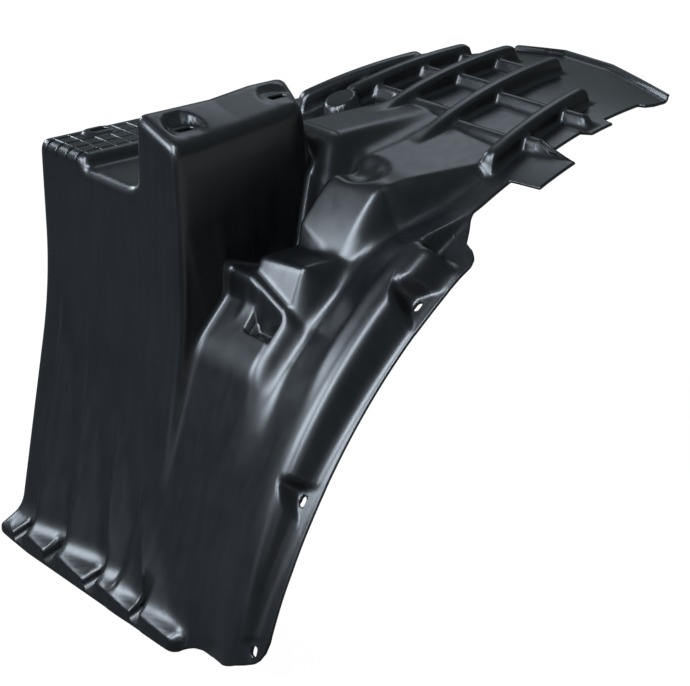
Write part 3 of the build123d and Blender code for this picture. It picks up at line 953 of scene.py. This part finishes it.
turn = np.linspace(0.0, 0.5 * math.pi, 7)
bent = np.stack([-np.sin(turn), np.zeros(turn.size), np.cos(turn)], axis=-1)
corner = np.array([front_round - wall_reach, 0.0, ledge_height - front_round]) + front_round * bent
back = np.array([[(grid_columns - 1) * grid_pitch - grid_front, 0.0, ledge_height]])
path = np.concatenate([back, corner, corner[-1:] - (0.0, 0.0, wall_run)])
normals = np.concatenate([[[0.0, 0.0, 1.0]], bent, bent[-1:]])
strips = [grid_rib(path + (0.0, side, 0.0), normals, (0, 1, 0)) for side in grid_sides]
for x in -grid_front + grid_pitch * np.arange(grid_columns):
    near_slot = abs(x + ledge_slot[0]) < boss_half_length + boss_radius
    start = grid_sides[0] - short_ends[0]
    stop = ledge_slot[1] - boss_radius if near_slot else grid_sides[-1] + short_ends[1]
    ys = np.array([start, start + short_taper, stop - short_taper, stop])
    path = np.stack([np.full(4, x), ys, np.full(4, ledge_height)], axis=-1)
    strips.append(grid_rib(path, np.tile([0.0, 0.0, 1.0], (4, 1)), (-1, 0, 0)))
grid_faces, made = [], 0
for points in strips:
    numbers = made + np.arange(points[..., 0].size).reshape(points.shape[:2])
    grid_faces.append(quads(np.concatenate([numbers, numbers[:, :1]], axis=1)))
    made += numbers.size
grid_points = np.concatenate([points.reshape(-1, 3) for points in strips])
ledge_grid = mesh_object("ledge_grid", in_frame(*grid_points.T), np.concatenate(grid_faces))

# %% [markdown]
# Both pieces stand for the CAD sheet, so they ride on the fixed body and replace the sheet's node, which is
# hidden.

# %% Pieces in the frame
for piece in (liner, ledge_grid):
    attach(piece, "root")
    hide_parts("arch_liner")
print("pieces:", liner.name, ledge_grid.name)

# %% [markdown]
# The shader's sums are written as ordinary sums: a small class wraps a socket and turns each sign into a
# Math node. Its other nodes come from one method, which sets a node's settings first and then its sockets.

# %% Shader sums
class Value:
    """A shader socket that can be added to, multiplied and so on; each operation is a Math node."""

    def __init__(self, tree, socket):
        self.tree, self.socket = tree, socket

    def node(self, kind, settings, output, **sockets):
        """Another node of the same tree; a socket is named by its name, or by its number after a line."""
        made = self.tree.nodes.new(kind)
        for name, value in settings.items():
            setattr(made, name, value)
        for name, value in sockets.items():
            socket = made.inputs[int(name[1:]) if name[1:].isdigit() else name.replace("_", " ")]
            if isinstance(value, Value):
                value.into(socket)
            else:
                socket.default_value = value
        return Value(self.tree, made.outputs[output])

    def sum(self, operation, first, second):
        """A Math node of two values."""
        return self.node("ShaderNodeMath", {"operation": operation}, 0, _0=first, _1=second)

    def __add__(self, other):
        return self.sum("ADD", self, other)

    def __radd__(self, other):
        return self.sum("ADD", other, self)

    def __mul__(self, other):
        return self.sum("MULTIPLY", self, other)

    def __rmul__(self, other):
        return self.sum("MULTIPLY", other, self)

    def step(self, low, high):
        """0 below low and 1 above high, smooth between."""
        return self.node("ShaderNodeMapRange", {"interpolation_type": "SMOOTHSTEP"}, "Result",
                         Value=self, From_Min=low, From_Max=high)

    def into(self, socket):
        """Links this value to a socket."""
        self.tree.links.new(self.socket, socket)


def source(tree, kind, output):
    """An output of a node that needs no input, such as the coordinates of a point."""
    return Value(tree, tree.nodes.new(kind).outputs[output])


def noise(place, scale, detail):
    """Noise from 0 to 1 at a place, with so many grains to the metre."""
    return place.node("ShaderNodeTexNoise", {}, "Fac", Vector=place, Scale=scale, Detail=detail)


print("signs that a shader value knows: + and *")

# %% [markdown]
# The liner is moulded from black plastic. Its skin is satin, with a fine grain from the mould, faint streaks
# where the melt flowed down the walls, and a little dust on what faces up. The tone is nearly black and
# slightly blue. Streaks are noise that is stretched along the height.

# %% Plastic
plastic = bpy.data.materials.new("black_plastic_moulded")
plastic.use_nodes = True
tree = plastic.node_tree
shader = tree.nodes["Principled BSDF"]
place = source(tree, "ShaderNodeTexCoord", "Object")
facing = source(tree, "ShaderNodeNewGeometry", "Normal")
upward = facing.node("ShaderNodeSeparateXYZ", {}, "Z", Vector=facing)
drawn_out = place.node("ShaderNodeMapping", {"vector_type": "POINT"}, "Vector",
                       Vector=place, Scale=(1, 1, 0.12))
grain = noise(place, 1100.0, 2.0)
streaks = noise(drawn_out, 90.0, 4.0)
clouds = noise(place, 14.0, 3.0)
dust = noise(place, 420.0, 1.0).step(0.74, 0.80) * upward.step(0.2, 0.8) * clouds.step(0.45, 0.65)
tone = 0.0012 + 0.0016 * clouds + 0.0016 * streaks + 0.05 * dust
colour = tone.node("ShaderNodeCombineXYZ", {}, "Vector", X=tone, Y=tone * 1.08, Z=tone * 1.25)
colour.into(shader.inputs["Base Color"])
roughness = 0.21 + 0.08 * clouds + 0.13 * streaks + 0.3 * dust
roughness.into(shader.inputs["Roughness"])
height = 0.6 * grain + 0.4 * streaks
bump = height.node("ShaderNodeBump", {}, "Normal", Height=height, Strength=0.10, Distance=0.0004)
bump.into(shader.inputs["Normal"])
shader.inputs["IOR"].default_value = 1.5
for piece in (liner, ledge_grid):
    piece.data.materials.clear()
    piece.data.materials.append(plastic)
print("plastic:", len(tree.nodes), "nodes")

# %% [markdown]
# The camera stands where the photographer stood: above the liner, in front of it and on its outer side. Its
# place and direction were found from the object's straight edges.

# %% Camera
camera_place, camera_view = (-1.2231, -1.6245, 0.5959), (0.5970, 0.7015, -0.3891)
camera_data = bpy.data.cameras.new("camera")
camera_data.sensor_width = 36.0
camera_data.lens = 102.26
camera_data.clip_end = 100.0
camera = placed("camera", camera_data)
camera.location = camera_place
camera.rotation_euler = Vector(camera_view).to_track_quat("-Z", "Y").to_euler()
bpy.context.scene.camera = camera
bpy.context.scene.view_settings.view_transform = "Standard"
print("camera to the origin:", round(camera.location.length, 2), "m")

# %% [markdown]
# A black glossy object shows its lamps more than its own colour, so each lamp is placed by what a surface
# reflects. Broad soft boxes give sheens on flat faces, and a long narrow one draws lines along the edges.

# %% Lamps
low, high = (Vector(corner) for corner in cad_box)
target = 0.5 * (low + high)
lamp_colour = (0.78, 0.88, 1.0)
softboxes = (
    ("left_softbox", (-0.80, 0.32, 0.51), 2.3, 0.9, 1.0, 20.0),
    ("strip_softbox", (-0.68, -0.14, 0.72), 2.2, 0.5, 1.9, 27.0),
    ("back_softbox", (0.52, 0.54, 0.66), 2.6, 0.9, 0.8, 1.7),
    ("edge_softbox", (-0.14, 0.90, 0.40), 2.6, 0.9, 0.7, 14.0),
    ("front_softbox", (-0.80, -0.55, 0.25), 2.4, 0.5, 1.2, 1.2),
    ("low_softbox", (-0.97, 0.10, 0.05), 2.4, 0.7, 0.9, 0.9),
)


def softbox(name, direction, distance, width, height, radiance):
    """A rectangular lamp facing the liner's middle: its power is radiance times area times pi."""
    lamp = bpy.data.lights.new(name, "AREA")
    lamp.shape = "RECTANGLE"
    lamp.size, lamp.size_y = width, height
    lamp.energy = math.pi * width * height * radiance
    lamp.color = lamp_colour
    holder = placed(name, lamp)
    aim = Vector(direction).normalized()
    holder.location = target + distance * aim
    holder.rotation_euler = aim.to_track_quat("Z", "Y").to_euler()


for lamp in softboxes:
    softbox(*lamp)
print("lamps:", len(softboxes))

# %% [markdown]
# The room around is bright to the camera and dimmer and bluer to everything else, so that the plastic stays
# black in front of a light background.

# %% Surroundings
dim_strength, dim_red = 0.20, 0.8
world = bpy.data.worlds.new("studio")
bpy.context.scene.world = world
world.use_nodes = True
tree = world.node_tree
background = tree.nodes["Background"]
seen = source(tree, "ShaderNodeLightPath", "Is Camera Ray")
red = dim_red + (1.0 - dim_red) * seen
sky = seen.node("ShaderNodeCombineColor", {}, "Color", Red=red, Green=0.95, Blue=1.0)
sky.into(background.inputs["Color"])
strength = dim_strength + (1.0 - dim_strength) * seen
strength.into(background.inputs["Strength"])
print("surroundings:", len(tree.nodes), "nodes")

# %% [markdown]
# The floor is white paper. To the camera it glows a little, which keeps it white and leaves the liner's
# shadow faint. In reflections it is dark on the left and glows on the right, a painted reflection of a bright
# board.

# %% Floor
floor_half = 12.0
dark_tone, pale_tone = 0.07, 0.75
camera_glow, mirror_glow, glow_strength = 0.93, 0.55, 1.06
reflected_glow_edges = (0.0, 1.2)
floor_mesh = bpy.data.meshes.new("floor")
floor_corners = [(sx * floor_half, sy * floor_half, low.z) for sx, sy in ((-1, -1), (1, -1), (1, 1), (-1, 1))]
floor_mesh.from_pydata(floor_corners, [], [(0, 1, 2, 3)])
floor = placed("floor", floor_mesh)

paper = bpy.data.materials.new("paper")
paper.use_nodes = True
tree = paper.node_tree
matt = tree.nodes["Principled BSDF"]
matt.inputs["Roughness"].default_value = 0.9
matt.inputs["Specular IOR Level"].default_value = 0.0
seen = source(tree, "ShaderNodeLightPath", "Is Camera Ray")
mirrored = source(tree, "ShaderNodeLightPath", "Is Glossy Ray")
spot = source(tree, "ShaderNodeTexCoord", "Object")
across = spot.node("ShaderNodeVectorMath", {"operation": "DOT_PRODUCT"}, "Value", _0=spot, _1=(1, -1, 0))
tone = dark_tone + (pale_tone - dark_tone) * seen
tone.into(matt.inputs["Base Color"])
glow = seen.node("ShaderNodeEmission", {}, "Emission", Color=(1, 1, 1, 1), Strength=glow_strength)
# Painted reflection: glossy rays see the floor glow on its right side, where a bright board would stand.
share = camera_glow * seen + mirror_glow * mirrored * across.step(*reflected_glow_edges)
matt_light = Value(tree, matt.outputs["BSDF"])
mixed = share.node("ShaderNodeMixShader", {}, "Shader", Fac=share, _1=matt_light, _2=glow)
mixed.into(tree.nodes["Material Output"].inputs["Surface"])
floor_mesh.materials.append(paper)
print("floor at", round(low.z, 4), "m")
